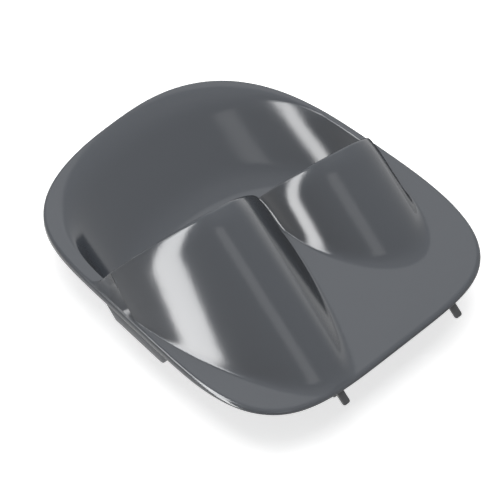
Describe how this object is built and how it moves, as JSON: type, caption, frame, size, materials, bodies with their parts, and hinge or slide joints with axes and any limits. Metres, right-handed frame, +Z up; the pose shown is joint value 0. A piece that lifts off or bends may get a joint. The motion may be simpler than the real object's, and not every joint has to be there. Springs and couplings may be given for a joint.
{
  "type": "two-lobed cowl panel",
  "caption": "Glossy grey moulded cowl panel: a deep scooped well behind two unequal ramped lobes, with front locating pegs and a side skirt.",
  "frame": {"origin": "centre of the bounding box at the underside of the well, the lowest point", "axes": "+X to the right of the panel seen from its front edge, +Y towards the rear edge behind the well, +Z up out of the panel"},
  "size_m": [0.2595, 0.3136, 0.1516],
  "materials": {
    "grey_moulding": "glossy injection-moulded ABS, cool mid grey, fine orange peel",
    "peg_plastic": "dark satin moulded nylon"
  },
  "bodies": {
    "root": {"cowl_shell": "grey_moulding", "left_front_peg": "peg_plastic", "right_front_peg": "peg_plastic", "left_side_skirt": "grey_moulding"}
  },
  "joints": []
}
